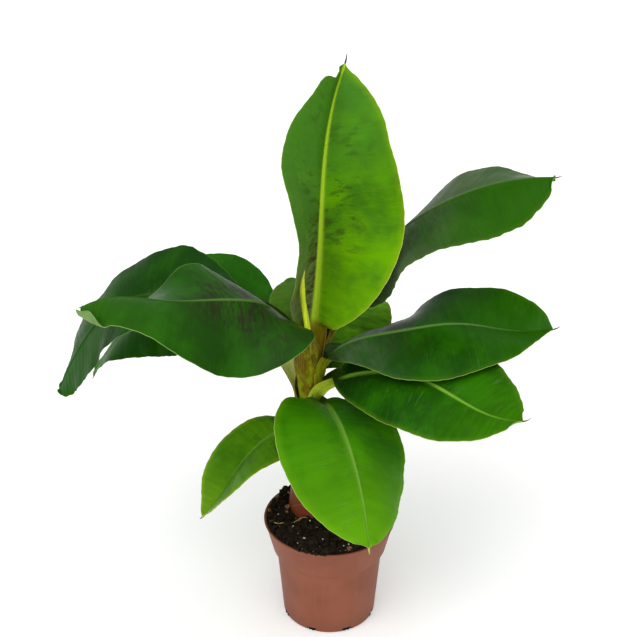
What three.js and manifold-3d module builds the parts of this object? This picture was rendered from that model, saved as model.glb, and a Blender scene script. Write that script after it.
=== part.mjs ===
// Banana plant in a 12 cm nursery pot. Millimetres, +Z up, origin under the middle of the pot,
// the front of the plant towards -Y.
import * as THREE from "three";
import Module from "manifold-3d";

const wasm = await Module();
wasm.setup();

const gap = 0.3; // clearance between neighbouring pieces

const potSize = {
  rimRadius: 60, // outer radius at the top edge
  rimLip: 0.8, // how far the top edge stands out of the band
  height: 102,
  footRadius: 42.6, // outer radius just above the foot
  footEdge: 1.2, // chamfer round the foot
  stepHeight: 71, // where the body ends and the wide band starts
  step: 1.2, // height of the sloping step
  bodyRadius: 48.6, // outer radius of the body just under the step
  bandRadius: 52, // outer radius of the band just above the step
  wall: 1.4,
  floor: 2.2,
  segments: 56,
  notches: 8, // drainage notches round the foot
  notchWidth: 9,
  notchHeight: 4,
  notchDepth: 5.5, // how far a notch reaches in from the foot's radius
};

const soil = {
  top: 98.5, // level at the wall
  rise: 1.5, // how much higher it is in the middle
  shoulder: 12, // it reaches most of that rise this far in from the wall
  play: 0.5, // how far it stays from the pot's slanting wall
  segments: 48,
};

const stemSize = {
  x: -18, // where the stem stands in the pot
  y: 14,
  foot: 92.3, // height of the flat cut under the stem
  top: 288,
  sides: 20,
  // outer radius at even steps from the foot to the top
  radii: [17.2, 16.6, 15.3, 14.4, 13.8, 13.4, 13, 12.7, 12.2, 11.2, 8.6],
};

const stalkHalf = 4.4; // half the width of a leaf stalk at its foot
const ribDepth = 5.2; // depth of the stalk and of the rib where the blade starts
const tipHalf = 1.3; // half the width that the rib runs out to at the leaf's tip
const leafThickness = 2.2; // least thickness of a blade, and at least thicknessShare of its length
const thicknessShare = 0.0105;
const openingWidth = 12; // the blade opens from its stalk over this much half width
const ribShoulder = 4.5; // half the width over which the rib stands out below the blade
const stalkFold = 25; // lift of the two sides of the channelled stalk
const stalkStart = 7; // the stalk starts this far from the stem's axis
const stalkSteps = 5;
const bladeSteps = 15;

// One row for each leaf. Angles are in degrees at even steps along stalk and blade.
//   foot: height where it leaves the stem      heading: 0 right, 90 back, 180 left, -90 front
//   rise: slope of the rib                     stalk, blade, width: lengths
//   roll: lean of the blade about its rib, left side up
//   foldL, foldR: lift of each half where it leaves the rib
//   curlL, curlR: how far each half has turned by its margin
//   wide, base, tip: where the blade is widest, how full its base is, how full its tip is
//   sweep: how far the cross veins lean towards the tip
//   bend: share of the length at which an arching leaf is parted into two solids
const usualSweep = [0, 10, 20];
const leaves = {
  leaf_top: {
    foot: 256,
    stalk: 27,
    blade: 235,
    width: 160,
    heading: [82, 66, 66, 47],
    rise: [59, 83, 78, 58],
    roll: [15, 30, 50],
    foldL: [45, 65, 45, 60],
    foldR: [45, 25, 35, 10],
    curlL: [20, 20, 0, 20],
    curlR: [15, 5, 25, 5],
    wide: 0.45,
    base: 0.5,
    tip: 0.9,
    sweep: [-10, 15, 25],
  },
  leaf_upper_right: {
    foot: 241,
    stalk: 74,
    blade: 226,
    width: 132,
    heading: [65, 36, -1, -10, -20],
    rise: [45, 56, 42, 26, 6],
    roll: [0, -40, 10],
    foldL: [-25, 30, -30],
    foldR: [-30, -35, -25],
    curlL: [-55, -5, -40],
    curlR: [-25, -25, -40],
    wide: 0.55,
    base: 0.3,
    tip: 0.7,
  },
  leaf_right: {
    foot: 242,
    stalk: 22,
    blade: 206,
    width: 130,
    heading: [1, -1, 8, -7],
    rise: [78, 18, 8, -14, 15],
    roll: [0, -10, 15],
    foldL: [-10, 10, 40],
    foldR: [5, -10, 40],
    curlL: [-35, -20, 0],
    curlR: [-20, -30, -5],
    wide: 0.45,
    base: 0.4,
    tip: 0.7,
    sweep: [20, 0, 20],
  },
  leaf_lower_right: {
    foot: 227,
    stalk: 28,
    blade: 191,
    width: 116,
    heading: [-32, -24, -42, -47],
    rise: [51, 13, -8, 26],
    roll: [0, 15, 15],
    foldL: [15, 10, 20],
    foldR: [5, 10, 15],
    curlL: [-20, -25, -10],
    curlR: [-25, -20, -20],
    wide: 0.4,
    base: 0.7,
    tip: 0.8,
  },
  leaf_front: {
    foot: 224,
    stalk: 24,
    blade: 163,
    width: 128,
    heading: [-67, -74, -74, -83],
    rise: [24, 2, -34, -46],
    roll: [-5, -20, -10],
    foldL: [15, 0, -10],
    foldR: [25, 0, 0],
    curlL: [0, -30, -30],
    curlR: [-5, -25, -20],
    wide: 0.4,
    base: 0.6,
    tip: 0.8,
  },
  leaf_small_left: {
    foot: 193,
    stalk: 10,
    blade: 116,
    width: 82,
    heading: [200, 211, 217, 206],
    rise: [7, -27, -48, -38],
    roll: [-20, 10, 20],
    foldL: [0, 25, 30],
    foldR: [5, 20, 20],
    curlL: [-30, -15, -10],
    curlR: [-25, -20, -15],
    wide: 0.5,
    base: 0.4,
    tip: 0.8,
  },
  leaf_left_front: {
    foot: 274,
    stalk: 39,
    blade: 195,
    width: 134,
    heading: [215, 227, 206, 187, 188],
    rise: [62, 53, 22, 6, 10, -28],
    roll: [-5, 5, 15],
    foldL: [5, -40, 0, -5],
    foldR: [10, 5, -65],
    curlL: [5, -35, -35, -70],
    curlR: [-15, -10, -55],
    wide: 0.3,
    base: 0.3,
    tip: 0.6,
  },
  leaf_left_arch: {
    foot: 268,
    stalk: 69,
    blade: 232,
    width: 126,
    heading: [151, 165, 165, 181, 171],
    rise: [66, 4, -10, -53, -67],
    bend: 0.5,
    roll: [-5, -5, -5],
    foldL: [15, 0, -15],
    foldR: [45, 10, 5],
    curlL: [-10, -10, -10],
    curlR: [-10, -15, -15],
    wide: 0.4,
    base: 0.9,
    tip: 0.6,
  },
  leaf_left_back: {
    foot: 213,
    stalk: 69,
    blade: 246,
    width: 116,
    heading: [124, 135, 150, 167, 184],
    rise: [49, 20, -10, -45, -64],
    bend: 0.5,
    roll: [0, -20, 5],
    foldL: [5, -10, 15],
    foldR: [25, 15, 5],
    curlL: [-20, -30, -5],
    curlR: [-15, -20, -20],
    wide: 0.35,
    base: 0.6,
    tip: 0.9,
  },
  leaf_back_left: {
    foot: 214,
    stalk: 53,
    blade: 87,
    width: 56,
    heading: [108, 100, 97, 86],
    rise: [88, 63, 20, -22],
    roll: [-5, 0, 10],
    foldL: [15, -5, 15],
    foldR: [0, -10, 5],
    curlL: [-20, -30, -15],
    curlR: [-20, -30, -20],
    wide: 0.45,
    base: 0.7,
    tip: 0.9,
  },
  leaf_back_right: {
    foot: 206,
    stalk: 35,
    blade: 122,
    width: 98,
    heading: [67, 67, 59, 58],
    rise: [64, 36, 5, -31],
    roll: [0, 5, -10],
    foldL: [20, 10, 5],
    foldR: [5, 10, 15],
    curlL: [-20, -25, -20],
    curlR: [-10, -30, -15],
    wide: 0.3,
    base: 0.7,
    tip: 1,
  },
};

const rolledLeaf = {
  foot: [-18.5, 11, 284],
  tip: [-21.5, 0, 354],
  radius: 3.2,
  tipRadius: 0.9,
};

const colours = {
  pot: 0x96604a,
  soil: 0x2a211b,
  stem: 0x8f8a3a,
  youngLeaf: 0x7aa832,
  leaf: 0x3f7a2a,
};

const rad = (degrees) => (degrees * Math.PI) / 180;
const mix = (a, b, t) => a + (b - a) * t;

// A smooth value through evenly spaced values, at t from 0 to 1.
function along(values, t) {
  const last = values.length - 1;
  const x = Math.min(Math.max(t, 0), 1) * last;
  const i = Math.min(Math.floor(x), last - 1);
  const f = x - i;
  const b = values[i];
  const c = values[i + 1];
  const a = i > 0 ? values[i - 1] : 2 * b - c;
  const d = i + 2 <= last ? values[i + 2] : 2 * c - b;
  return b + 0.5 * f * (c - a + f * (2 * a - 5 * b + 4 * c - d + f * (3 * (b - c) + d - a)));
}

// Half width of a blade as a share of its widest, at u from 0 at the base to 1 at the tip.
function outline(leaf, u) {
  if (u < leaf.wide) return Math.sin((Math.PI / 2) * (u / leaf.wide)) ** leaf.base;
  const rest = (u - leaf.wide) / (1 - leaf.wide);
  return Math.max(Math.cos((Math.PI / 2) * rest), 0) ** leaf.tip;
}

// The rib's point and frame at every station: forward, left and up.
function ribFrames(leaf, stations) {
  const total = leaf.stalk + leaf.blade;
  const fine = 120;
  const direction = (t) => {
    const a = rad(along(leaf.heading, t));
    const e = rad(along(leaf.rise, t));
    return new THREE.Vector3(Math.cos(e) * Math.cos(a), Math.cos(e) * Math.sin(a), Math.sin(e));
  };
  const a0 = rad(leaf.heading[0]);
  const points = [
    new THREE.Vector3(
      stemSize.x + stalkStart * Math.cos(a0),
      stemSize.y + stalkStart * Math.sin(a0),
      leaf.foot,
    ),
  ];
  for (let i = 0; i < fine; i++) {
    const step = direction(i / fine).add(direction((i + 1) / fine));
    points.push(points[i].clone().addScaledVector(step, total / fine / 2));
  }
  return stations.map((t) => {
    const k = Math.min(Math.floor(t * fine), fine - 1);
    const point = points[k].clone().lerp(points[k + 1], t * fine - k);
    const forward = direction(t);
    const a = rad(along(leaf.heading, t));
    const flat = new THREE.Vector3(-Math.sin(a), Math.cos(a), 0);
    const flatUp = forward.clone().cross(flat);
    const r = rad(along(leaf.roll, t));
    const left = flat.clone().multiplyScalar(Math.cos(r)).addScaledVector(flatUp, Math.sin(r));
    const up = flatUp.clone().multiplyScalar(Math.cos(r)).addScaledVector(flat, -Math.sin(r));
    return { t, point, forward, left, up };
  });
}

// A closed solid from rings of points, each with the same even number of points. The second half of
// a ring runs back under the first half, and its faces are divided the same way as those over them.
function loft(rings) {
  const n = rings[0].length;
  const positions = [];
  for (const ring of rings) for (const p of ring) positions.push(p.x, p.y, p.z);
  const triangles = [];
  for (let i = 0; i + 1 < rings.length; i++) {
    for (let j = 0; j < n; j++) {
      const a = i * n + j;
      const b = i * n + ((j + 1) % n);
      if (j < n / 2) triangles.push(a, b, b + n, a, b + n, a + n);
      else triangles.push(a, b, a + n, b, b + n, a + n);
    }
  }
  const middle = (ring) => {
    const c = new THREE.Vector3();
    for (const p of ring) c.addScaledVector(p, 1 / n);
    positions.push(c.x, c.y, c.z);
    return positions.length / 3 - 1;
  };
  const start = middle(rings[0]);
  const end = middle(rings[rings.length - 1]);
  const lastRing = (rings.length - 1) * n;
  for (let j = 0; j < n; j++) {
    const next = (j + 1) % n;
    triangles.push(start, next, j, end, lastRing + j, lastRing + next);
  }
  return new wasm.Manifold(
    new wasm.Mesh({
      numProp: 3,
      vertProperties: new Float32Array(positions),
      triVerts: new Uint32Array(triangles),
    }),
  );
}

// A leaf: stalk, rib and blade in one solid.
function leafSolid(leaf) {
  const total = leaf.stalk + leaf.blade;
  const bladeStart = leaf.stalk / total;
  const thick = Math.max(leafThickness, thicknessShare * total) / 2;
  const stations = [];
  for (let i = 0; i < stalkSteps; i++) stations.push((bladeStart * i) / stalkSteps);
  for (let j = 0; j <= bladeSteps; j++) {
    const s = j / bladeSteps;
    const u = s - 0.06 * Math.sin(2 * Math.PI * s); // closer steps at the base and at the tip
    stations.push(mix(bladeStart, 1, u));
  }
  const sweep = leaf.sweep || usualSweep;
  const rings = ribFrames(leaf, stations).map(({ t, point, forward, left, up }) => {
    const u = (t - bladeStart) / (1 - bladeStart);
    const inBlade = Math.max(u, 0);
    const least = mix(stalkHalf, tipHalf, inBlade);
    const half = Math.max(least, u > 0 ? (leaf.width / 2) * outline(leaf, u) : 0);
    const depth = mix(ribDepth, thick + 0.3, inBlade ** 0.7);
    const open = Math.min(Math.max((half - least) / openingWidth, 0), 1); // 0 on the stalk, 1 in the blade
    const lean = rad(along(sweep, inBlade)) * open;
    const near = Math.min(ribShoulder, half / 2);
    const sides = {};
    for (const side of ["L", "R"]) {
      const sign = side === "L" ? 1 : -1;
      const fold = mix(rad(stalkFold), rad(along(leaf["fold" + side], inBlade)), open);
      const curl = rad(along(leaf["curl" + side], inBlade)) * open;
      sides[side] = [near, (near + half) / 2, half].map((distance) => {
        const v = distance / half;
        const chordAngle = fold + (curl * v) / 2;
        const bend = (curl * v) / 2;
        const chord = distance * (Math.abs(bend) > 1e-4 ? Math.sin(bend) / bend : 1);
        const at = point
          .clone()
          .addScaledVector(left, sign * Math.cos(lean) * Math.cos(chordAngle) * chord)
          .addScaledVector(up, Math.cos(lean) * Math.sin(chordAngle) * chord)
          .addScaledVector(forward, Math.sin(lean) * distance);
        const angle = fold + curl * v;
        const normal = left
          .clone()
          .multiplyScalar(-sign * Math.sin(angle))
          .addScaledVector(up, Math.cos(angle));
        const under = distance === near ? mix(depth * 0.75, thick, open) : thick;
        return {
          top: at.clone().addScaledVector(normal, thick),
          bottom: at.clone().addScaledVector(normal, -under),
        };
      });
    }
    const ring = [];
    for (const p of [...sides.L].reverse()) ring.push(p.top);
    ring.push(point.clone().addScaledVector(up, thick * 0.6));
    for (const p of sides.R) ring.push(p.top);
    for (const p of [...sides.R].reverse()) ring.push(p.bottom);
    ring.push(point.clone().addScaledVector(up, -depth));
    for (const p of sides.L) ring.push(p.bottom);
    return ring;
  });
  return loft(rings);
}

// An arching leaf as two solids, parted square to its rib by the usual gap.
function partedLeaf(leaf) {
  const [{ point, forward }] = ribFrames(leaf, [leaf.bend]);
  const solid = leafSolid(leaf);
  const at = point.dot(forward);
  return {
    _base: solid.trimByPlane(forward.clone().negate().toArray(), gap / 2 - at),
    _end: solid.trimByPlane(forward.toArray(), gap / 2 + at),
  };
}

// The stem as rings; grow widens it and lengthens both ends, to cut clearance for the rest.
function stemSolid(grow) {
  const rings = [];
  const last = stemSize.radii.length - 1;
  for (let i = 0; i <= last; i++) {
    const end = i === 0 ? -grow : i === last ? grow : 0;
    const z = mix(stemSize.foot, stemSize.top, i / last) + end;
    const ring = [];
    for (let k = 0; k < stemSize.sides; k++) {
      const a = (2 * Math.PI * k) / stemSize.sides;
      const r = stemSize.radii[i] + grow;
      ring.push(new THREE.Vector3(stemSize.x + r * Math.cos(a), stemSize.y + r * Math.sin(a), z));
    }
    rings.push(ring);
  }
  return loft(rings);
}

function rolledLeafSolid() {
  const from = new THREE.Vector3(...rolledLeaf.foot);
  const to = new THREE.Vector3(...rolledLeaf.tip);
  const rings = [];
  for (let i = 0; i <= 6; i++) {
    const t = i / 6;
    const centre = from.clone().lerp(to, t);
    const r = mix(rolledLeaf.radius, rolledLeaf.tipRadius, t ** 1.4);
    const ring = [];
    for (let k = 0; k < 8; k++) {
      const a = (2 * Math.PI * k) / 8;
      ring.push(new THREE.Vector3(centre.x + r * Math.cos(a), centre.y + r * Math.sin(a), centre.z));
    }
    rings.push(ring);
  }
  return loft(rings);
}

// A solid of revolution from a closed outline of [radius, height] pairs.
function turned(outlinePoints, segments) {
  const points = outlinePoints.map(([r, z]) => new THREE.Vector2(r, z));
  points.push(points[0].clone());
  const g = new THREE.LatheGeometry(points, segments);
  g.rotateX(Math.PI / 2);
  const merged = new Map();
  const positions = [];
  const source = g.getAttribute("position");
  const index = [];
  for (let i = 0; i < source.count; i++) {
    const at = [source.getX(i), source.getY(i), source.getZ(i)];
    const key = at.map((c) => Math.round(c * 1e3)).join();
    if (!merged.has(key)) {
      merged.set(key, positions.length / 3);
      positions.push(...at);
    }
    index.push(merged.get(key));
  }
  const triangles = [];
  for (let i = 0; i < g.index.count; i += 3) {
    const [a, b, c] = [0, 1, 2].map((k) => index[g.index.getX(i + k)]);
    if (a !== b && b !== c && c !== a) triangles.push(a, b, c);
  }
  const solid = (list) =>
    new wasm.Manifold(
      new wasm.Mesh({
        numProp: 3,
        vertProperties: new Float32Array(positions),
        triVerts: new Uint32Array(list),
      }),
    );
  const made = solid(triangles);
  return made.volume() > 0 ? made : solid([...triangles].reverse());
}

// The outer radius of the pot's wide band at height z.
function bandOuter(z) {
  const { bandRadius, rimRadius, rimLip, height, stepHeight, step } = potSize;
  const start = stepHeight + step;
  return mix(bandRadius, rimRadius - rimLip, (z - start) / (height - rimLip - start));
}

function potSolid() {
  const p = potSize;
  const insideStep = p.stepHeight + p.step + p.wall; // where the band's inner wall starts
  const body = turned(
    [
      [0, 0],
      [p.footRadius - p.footEdge, 0],
      [p.footRadius, p.footEdge],
      [p.bodyRadius, p.stepHeight],
      [p.bandRadius, p.stepHeight + p.step],
      [bandOuter(p.height - 2 * p.rimLip), p.height - 2 * p.rimLip],
      [p.rimRadius, p.height - p.rimLip],
      [p.rimRadius, p.height],
      [bandOuter(p.height) - p.wall, p.height],
      [bandOuter(insideStep) - p.wall, insideStep],
      [p.bodyRadius - p.wall, p.stepHeight],
      [p.footRadius - p.wall, p.floor],
      [0, p.floor],
    ],
    p.segments,
  );
  const notches = [];
  for (let i = 0; i < p.notches; i++) {
    const box = wasm.Manifold.cube([2 * p.notchDepth, p.notchWidth, 2 * p.notchHeight], true);
    const turn = (360 * (i + 0.5)) / p.notches;
    notches.push(box.translate([p.footRadius, 0, 0]).rotate([0, 0, turn]));
  }
  return body.subtract(wasm.Manifold.union(notches));
}

function soilSolid() {
  const p = potSize;
  const clear = p.wall + soil.play;
  const insideStep = p.stepHeight + p.step + p.wall;
  const edge = bandOuter(soil.top) - clear;
  const body = turned(
    [
      [0, p.floor + gap],
      [p.footRadius - clear, p.floor + gap],
      [p.bodyRadius - clear, p.stepHeight],
      [bandOuter(insideStep) - clear, insideStep + soil.play],
      [edge, soil.top],
      [edge - soil.shoulder, soil.top + 0.8 * soil.rise],
      [0, soil.top + soil.rise],
    ],
    soil.segments,
  );
  return body.subtract(stemSolid(gap));
}

function asMesh(name, solid, colour, roughness) {
  const data = solid.getMesh();
  const g = new THREE.BufferGeometry();
  const positions = new Float32Array(data.numVert * 3);
  for (let i = 0; i < data.numVert; i++) {
    for (let k = 0; k < 3; k++) {
      positions[3 * i + k] = data.vertProperties[i * data.numProp + k];
    }
  }
  g.setAttribute("position", new THREE.BufferAttribute(positions, 3));
  g.setIndex(new THREE.BufferAttribute(new Uint32Array(data.triVerts), 1));
  g.computeVertexNormals();
  const mesh = new THREE.Mesh(g, new THREE.MeshStandardMaterial({ color: colour, roughness }));
  mesh.name = name;
  return mesh;
}

const group = new THREE.Group();
group.add(asMesh("pot", potSolid(), colours.pot, 0.7));
group.add(asMesh("soil", soilSolid(), colours.soil, 1));
group.add(asMesh("stem", stemSolid(0), colours.stem, 0.6));
const room = stemSolid(gap);
for (const [name, leaf] of Object.entries(leaves)) {
  const colour = name === "leaf_top" ? colours.youngLeaf : colours.leaf;
  const solids = leaf.bend ? partedLeaf(leaf) : { "": leafSolid(leaf) };
  for (const [ending, solid] of Object.entries(solids)) {
    group.add(asMesh(name + ending, solid.subtract(room), colour, 0.5));
  }
}
group.add(asMesh("leaf_rolled", rolledLeafSolid().subtract(room), colours.youngLeaf, 0.5));

export default group;
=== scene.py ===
import math
import bpy
import bmesh
import numpy as np
from mathutils import Euler, Matrix, Vector


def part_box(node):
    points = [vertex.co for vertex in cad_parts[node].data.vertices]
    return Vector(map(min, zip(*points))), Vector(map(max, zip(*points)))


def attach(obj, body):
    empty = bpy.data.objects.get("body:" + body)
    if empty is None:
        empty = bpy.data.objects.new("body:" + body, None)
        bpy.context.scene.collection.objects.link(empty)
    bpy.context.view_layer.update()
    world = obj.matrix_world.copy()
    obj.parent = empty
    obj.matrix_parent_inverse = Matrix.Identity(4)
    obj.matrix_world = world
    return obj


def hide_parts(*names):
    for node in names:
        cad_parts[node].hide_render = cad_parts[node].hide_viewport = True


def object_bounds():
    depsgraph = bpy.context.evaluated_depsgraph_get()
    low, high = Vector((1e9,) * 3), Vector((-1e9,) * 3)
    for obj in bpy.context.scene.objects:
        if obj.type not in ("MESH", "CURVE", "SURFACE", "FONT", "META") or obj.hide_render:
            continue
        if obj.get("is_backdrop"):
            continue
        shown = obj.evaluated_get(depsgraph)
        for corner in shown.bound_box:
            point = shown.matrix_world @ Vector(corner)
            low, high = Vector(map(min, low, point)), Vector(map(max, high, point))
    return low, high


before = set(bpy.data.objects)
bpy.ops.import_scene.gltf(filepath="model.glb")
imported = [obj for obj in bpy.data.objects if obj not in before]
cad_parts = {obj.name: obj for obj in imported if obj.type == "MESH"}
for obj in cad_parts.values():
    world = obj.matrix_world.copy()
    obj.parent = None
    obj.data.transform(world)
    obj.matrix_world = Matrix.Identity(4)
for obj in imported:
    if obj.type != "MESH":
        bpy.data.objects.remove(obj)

from types import SimpleNamespace

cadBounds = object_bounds()
mm = 0.001  # the leaf, stem, soil and pot values below are in millimetres
scene = bpy.context.scene

print("camera and light")

cameraSettings = {
    "place": (-0.010, -1.127, 0.920),
    "pitch": 61.5,  # 90 would be level
    "lens": 85,
    "sensor": 36,
}

studio = {
    "sky": 0.5,  # even light from all round
    "backdrop": 1.0,  # how bright the sky looks where it shows past the floor
    "floorSize": 30.0,
    "floorShade": 0.92,
    "floorGlow": 0.12,
    "lamps": [  # direction that it comes from, width in degrees, strength
        ((-0.55, -0.75, 1.1), 50, 1.5),
        ((0.3, -0.1, 1.0), 90, 1.1),
        ((0.25, -1.0, 0.3), 70, 0.75),
    ],
}


def addObject(name, data, material=None):
    if material:
        data.materials.append(material)
    made = bpy.data.objects.new(name, data)
    scene.collection.objects.link(made)
    return made


def makeCamera():
    data = bpy.data.cameras.new("camera")
    data.lens = cameraSettings["lens"]
    data.sensor_width = cameraSettings["sensor"]
    camera = addObject("camera", data)
    camera.location = cameraSettings["place"]
    camera.rotation_euler = (math.radians(cameraSettings["pitch"]), 0, 0)
    scene.camera = camera


def makeLights():
    world = bpy.data.worlds.new("studioSky")
    scene.world = world
    world.use_nodes = True
    tree = world.node_tree
    background = tree.nodes["Background"].inputs
    background["Color"].default_value = (1, 1, 1, 1)
    path = tree.nodes.new("ShaderNodeLightPath")
    brightness = tree.nodes.new("ShaderNodeMapRange")
    brightness.inputs["To Min"].default_value = studio["sky"]
    brightness.inputs["To Max"].default_value = studio["backdrop"]
    tree.links.new(path.outputs["Is Camera Ray"], brightness.inputs["Value"])
    tree.links.new(brightness.outputs["Result"], background["Strength"])
    for i, (direction, width, strength) in enumerate(studio["lamps"]):
        data = bpy.data.lights.new(f"studioLamp{i + 1}", "SUN")
        data.angle = math.radians(width)
        data.energy = strength
        lamp = addObject(data.name, data)
        lamp.rotation_euler = (-Vector(direction)).to_track_quat("-Z", "Y").to_euler()


makeCamera()
makeLights()
scene.view_settings.view_transform = "Standard"

print("shader helpers and shared effects")


def linear(red, green, blue):
    # a screen colour from 0 to 255 as the shader's own linear colour
    shares = [c / 255 for c in (red, green, blue)]
    return (*(c / 12.92 if c <= 0.04045 else ((c + 0.055) / 1.055) ** 2.4 for c in shares), 1.0)


def finishOf(*parts):
    # the values of these dictionaries, where a later one counts, with their colours made linear
    values = {label: value for part in parts for label, value in part.items()}
    colours = {label: linear(*value) for label, value in values.items()
               if isinstance(value, tuple) and len(value) == 3}
    return SimpleNamespace(**dict(values, **colours))


def plug(tree, socket, value):
    if isinstance(value, bpy.types.NodeSocket):
        tree.links.new(value, socket)
    else:
        socket.default_value = value


def addNode(tree, kind, inputs=None, **settings):
    node = tree.nodes.new(kind)
    for name, value in settings.items():
        setattr(node, name, value)
    for name, value in (inputs or {}).items():
        plug(tree, node.inputs[name], value)
    return node


def maths(tree, operation, a, b=0.0):
    return addNode(tree, "ShaderNodeMath", {0: a, 1: b}, operation=operation).outputs[0]


def plus(tree, a, b):
    return maths(tree, "ADD", a, b)


def times(tree, result, *parts):
    for part in parts:
        result = maths(tree, "MULTIPLY", result, part)
    return result


def blend(tree, share, a, b):
    return addNode(tree, "ShaderNodeMix", {0: share, 6: a, 7: b}, data_type="RGBA").outputs[2]


def layered(tree, colour, layers):
    # colours laid over the first one after another, each by its mask
    for mask, over in layers:
        colour = blend(tree, mask, colour, over)
    return colour


def span(tree, value, low, high, toLow=0.0, toHigh=1.0):
    inputs = {"Value": value, "From Min": low, "From Max": high, "To Min": toLow, "To Max": toHigh}
    return addNode(tree, "ShaderNodeMapRange", inputs, interpolation_type="SMOOTHSTEP").outputs["Result"]


def kept(tree, *names):
    # values that the mesh keeps at each vertex
    found = [addNode(tree, "ShaderNodeAttribute", attribute_name=name).outputs["Fac"] for name in names]
    return found if len(found) > 1 else found[0]


def vector(tree, x, y, z=0.0):
    return addNode(tree, "ShaderNodeCombineXYZ", {"X": x, "Y": y, "Z": z}).outputs[0]


def noise(tree, spot, scale=1.0, detail=4.0, roughness=0.5):
    inputs = {"Vector": spot, "Scale": scale, "Detail": detail, "Roughness": roughness}
    return addNode(tree, "ShaderNodeTexNoise", inputs).outputs["Fac"]


def drawnOut(tree, x, xScale, y, yScale, seed=0.0, detail=4.0, roughness=0.5):
    # noise that is longer one way than the other
    spot = vector(tree, times(tree, x, xScale), times(tree, y, yScale), seed)
    return noise(tree, spot, 1.0, detail, roughness)


def newGroup(name, inputs, outputs):
    # a node group; all its sockets are plain numbers
    tree = bpy.data.node_groups.new(name, "ShaderNodeTree")
    for label, value in inputs.items():
        socket = tree.interface.new_socket(label, in_out="INPUT", socket_type="NodeSocketFloat")
        socket.default_value = value
    for label in outputs:
        tree.interface.new_socket(label, in_out="OUTPUT", socket_type="NodeSocketFloat")
    return tree, tree.nodes.new("NodeGroupInput").outputs, tree.nodes.new("NodeGroupOutput").inputs


def placeGroup(tree, group, inputs):
    return addNode(tree, "ShaderNodeGroup", inputs, node_tree=group).outputs


def makeVeinGroup():
    # fine parallel lines from rib to margin, a little uneven, and broader bands among them
    inputs = {"Along": 0.0, "Across": 0.0, "Spacing": 1.3, "Seed": 0.0}
    tree, entry, leave = newGroup("crossVeins", inputs, ["Lines", "Bands", "Height"])
    alongRib, across, spacing, seed = [entry[label] for label in inputs]
    slow = drawnOut(tree, alongRib, 0.05, across, 0.03, seed, 3)
    wandered = plus(tree, alongRib, times(tree, slow, 5.0))
    phase = times(tree, maths(tree, "DIVIDE", wandered, spacing), 2 * math.pi)
    lines = maths(tree, "MULTIPLY_ADD", maths(tree, "SINE", phase), 0.5)
    lines.node.inputs[2].default_value = 0.5
    streaks = drawnOut(tree, wandered, 0.9, across, 0.02, seed, 2)
    bands = drawnOut(tree, wandered, 0.16, across, 0.012, seed, 3)
    height = plus(tree, times(tree, lines, 0.35), streaks)
    plug(tree, leave["Lines"], times(tree, lines, span(tree, streaks, 0.3, 0.7)))
    plug(tree, leave["Bands"], span(tree, bands, 0.3, 0.7))
    plug(tree, leave["Height"], plus(tree, height, times(tree, bands, 2.0)))
    return tree


def makePatchGroup():
    # soft patches drawn out along the cross veins
    inputs = {"Along": 0.0, "Across": 0.0, "Size": 10.0, "Stretch": 2.5, "From": 0.55, "To": 0.7, "Seed": 0.0}
    tree, entry, leave = newGroup("patches", inputs, ["Mask"])
    x = maths(tree, "DIVIDE", entry["Along"], entry["Size"])
    y = maths(tree, "DIVIDE", maths(tree, "DIVIDE", entry["Across"], entry["Size"]), entry["Stretch"])
    value = noise(tree, vector(tree, x, y, entry["Seed"]), roughness=0.6)
    plug(tree, leave["Mask"], span(tree, value, entry["From"], entry["To"]))
    return tree


def makeGrainGroup():
    # an even grain in the object's own space, for colour, roughness and relief
    inputs = {"Scale": 200.0, "Detail": 4.0, "Low": 0.3, "High": 0.7}
    tree, entry, leave = newGroup("grain", inputs, ["Mask", "Height"])
    coordinates = addNode(tree, "ShaderNodeTexCoord").outputs["Object"]
    value = noise(tree, coordinates, entry["Scale"], entry["Detail"])
    plug(tree, leave["Mask"], span(tree, value, entry["Low"], entry["High"]))
    plug(tree, leave["Height"], value)
    return tree


veinGroup = makeVeinGroup()
patchGroup = makePatchGroup()
grainGroup = makeGrainGroup()


def grainy(tree, scale, detail, low=0.3, high=0.7):
    return placeGroup(tree, grainGroup, {"Scale": scale, "Detail": detail, "Low": low, "High": high})


def newMaterial(name):
    material = bpy.data.materials.new(name)
    material.use_nodes = True
    return material, material.node_tree


def finishShader(tree, colour, roughness, height, relief, specular=None):
    shader = tree.nodes["Principled BSDF"].inputs
    plug(tree, shader["Base Color"], colour)
    plug(tree, shader["Roughness"], roughness)
    if specular is not None:
        shader["Specular IOR Level"].default_value = specular
    bump = addNode(tree, "ShaderNodeBump", {"Height": height, "Distance": relief})
    plug(tree, shader["Normal"], bump.outputs[0])


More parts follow.
